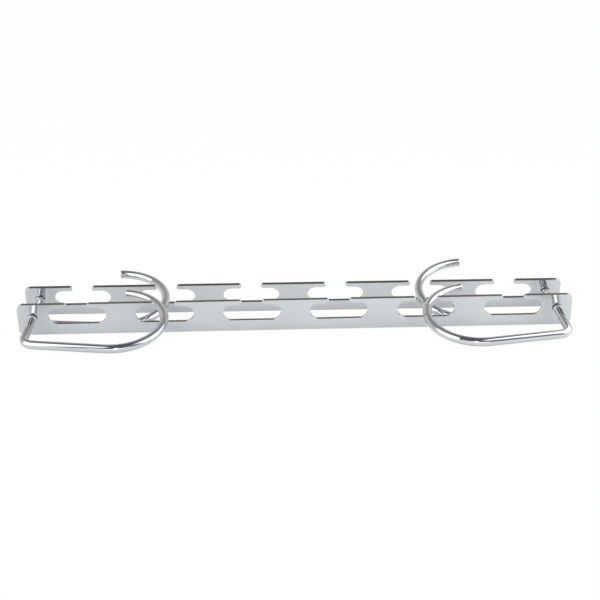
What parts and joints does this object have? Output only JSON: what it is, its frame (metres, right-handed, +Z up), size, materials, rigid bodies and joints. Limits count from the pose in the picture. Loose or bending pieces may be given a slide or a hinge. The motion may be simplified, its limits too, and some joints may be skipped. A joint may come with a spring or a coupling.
{
  "type": "cascading closet hanger pair",
  "caption": "Pair of slotted steel strips, each with swivelling wire hooks folded flat, standing one behind the other; T-slots take the hooks of clothes hangers.",
  "frame": {"origin": "middle of the footprint of the folded pair, on the surface it stands on", "axes": "+X along the strips to the right, +Y from the front hanger to the rear one (the hooks fold towards -Y), +Z up"},
  "size_m": [0.3186, 0.0998, 0.0224],
  "materials": {
    "strip_steel": "polished bright, near mirror",
    "wire_chrome": "bright chrome plate on round wire",
    "washer_steel": "plain bright steel"
  },
  "bodies": {
    "rear_hanger": {"rear_strip": "strip_steel", "rear_left_washer": "washer_steel", "rear_right_washer": "washer_steel"},
    "front_hanger": {"front_strip": "strip_steel", "front_left_washer": "washer_steel", "front_right_washer": "washer_steel"},
    "front_left_hook": {"front_left_hook": "wire_chrome"},
    "front_right_hook": {"front_right_hook": "wire_chrome"},
    "rear_left_hook": {"rear_left_hook": "wire_chrome"},
    "rear_right_hook": {"rear_right_hook": "wire_chrome"}
  },
  "joints": [
    {"name": "front_hanger_lift", "type": "slide", "parent": "rear_hanger", "child": "front_hanger", "axis": [0, -0.213, 0.977], "range_m": [0, 0.12]},
    {"name": "front_left_hook_swing", "type": "hinge", "parent": "front_hanger", "child": "front_left_hook", "pos_m": [-0.15017, -0.01479, 0.01091], "axis": [0, -0.977, -0.213], "range_deg": [0, 340]},
    {"name": "front_right_hook_swing", "type": "hinge", "parent": "front_hanger", "child": "front_right_hook", "pos_m": [0.15083, -0.01479, 0.01091], "axis": [0, 0.977, 0.213], "range_deg": [0, 340]},
    {"name": "rear_left_hook_swing", "type": "hinge", "parent": "rear_hanger", "child": "rear_left_hook", "pos_m": [-0.1508, 0.01971, 0.01063], "axis": [-0.0099, -0.9437, -0.3305], "range_deg": [0, 3.5]},
    {"name": "rear_right_hook_swing", "type": "hinge", "parent": "rear_hanger", "child": "rear_right_hook", "pos_m": [0.15018, 0.01656, 0.01063], "axis": [0.0099, 0.9437, 0.3305], "range_deg": [0, 3.5]}
  ]
}
